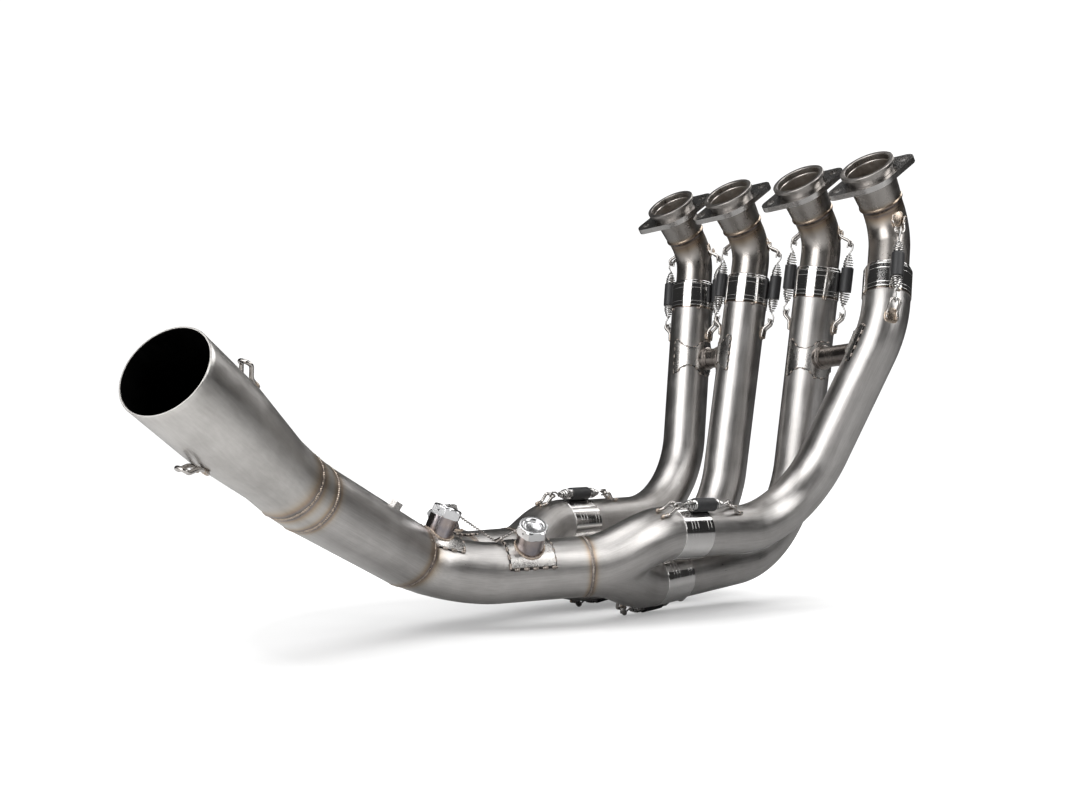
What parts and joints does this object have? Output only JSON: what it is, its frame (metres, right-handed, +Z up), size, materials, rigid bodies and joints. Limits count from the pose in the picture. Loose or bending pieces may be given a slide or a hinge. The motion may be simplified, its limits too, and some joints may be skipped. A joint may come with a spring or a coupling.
{
  "type": "motorcycle exhaust header",
  "caption": "Four-into-two-into-one tubular exhaust header with loose port flanges, sprung slip joints, paired collectors, sensor bungs and a flared outlet socket.",
  "frame": {"origin": "centre of the first port ring's face", "axes": "+X along the row of ports towards the fourth port, +Y to the front of the motorcycle, +Z up"},
  "size_m": [0.3106, 0.7738, 0.4413],
  "materials": {
    "flange": "satin machined titanium",
    "head_tube": "satin titanium with brown heat tint",
    "polished_sleeve": "polished turned titanium",
    "brushed_tube": "brushed titanium, tinted at the welds",
    "satin_tube": "fine satin titanium",
    "saddle_sheet": "bright titanium sheet, stitch welded",
    "dark_tube": "heat darkened titanium",
    "bent_wire": "bright bent wire",
    "spring_steel": "bright spring steel",
    "damper_rubber": "black rubber",
    "tinted_neck": "turned titanium with blue and brown tint",
    "plug_alloy": "machined alloy",
    "lock_wire": "thin bright wire"
  },
  "bodies": {
    "root": {"port_flange_1": "flange", "port_ring_1": "head_tube", "head_pipe_1": "head_tube", "slip_sleeve_1": "polished_sleeve", "primary_pipe_1": "brushed_tube", "lower_sleeve_1": "polished_sleeve", "balance_saddle_1": "saddle_sheet", "port_flange_2": "flange", "port_ring_2": "head_tube", "head_pipe_2": "head_tube", "slip_sleeve_2": "polished_sleeve", "primary_pipe_2": "brushed_tube", "lower_sleeve_2": "polished_sleeve", "balance_saddle_2": "saddle_sheet", "port_flange_3": "flange", "port_ring_3": "head_tube", "head_pipe_3": "head_tube", "slip_sleeve_3": "polished_sleeve", "primary_pipe_3": "brushed_tube", "lower_sleeve_3": "polished_sleeve", "balance_saddle_3": "saddle_sheet", "port_flange_4": "flange", "port_ring_4": "head_tube", "head_pipe_4": "head_tube", "slip_sleeve_4": "polished_sleeve", "primary_pipe_4": "brushed_tube", "lower_sleeve_4": "polished_sleeve", "balance_saddle_4": "saddle_sheet", "balance_tube_left": "dark_tube", "balance_tube_right": "dark_tube", "collector_far": "brushed_tube", "collector_near": "brushed_tube", "secondary_pipe_far": "brushed_tube", "merge_pipe": "brushed_tube", "tail_pipe": "brushed_tube", "tail_collar": "brushed_tube", "megaphone": "satin_tube", "tail_tab": "brushed_tube", "head_brackets": "bent_wire", "primary_brackets": "bent_wire", "lower_pipe_brackets": "bent_wire", "collector_brackets": "bent_wire", "outlet_loops": "bent_wire", "upper_springs": "spring_steel", "lower_springs": "spring_steel", "upper_dampers": "damper_rubber", "lower_dampers": "damper_rubber", "sensor_bung_near": "tinted_neck", "bung_plate_near": "saddle_sheet", "sensor_bung_bend": "tinted_neck", "bung_plate_bend": "saddle_sheet", "sensor_bung_far": "tinted_neck", "bung_plate_far": "saddle_sheet", "bung_plugs": "plug_alloy", "lockwire": "lock_wire"}
  },
  "joints": []
}
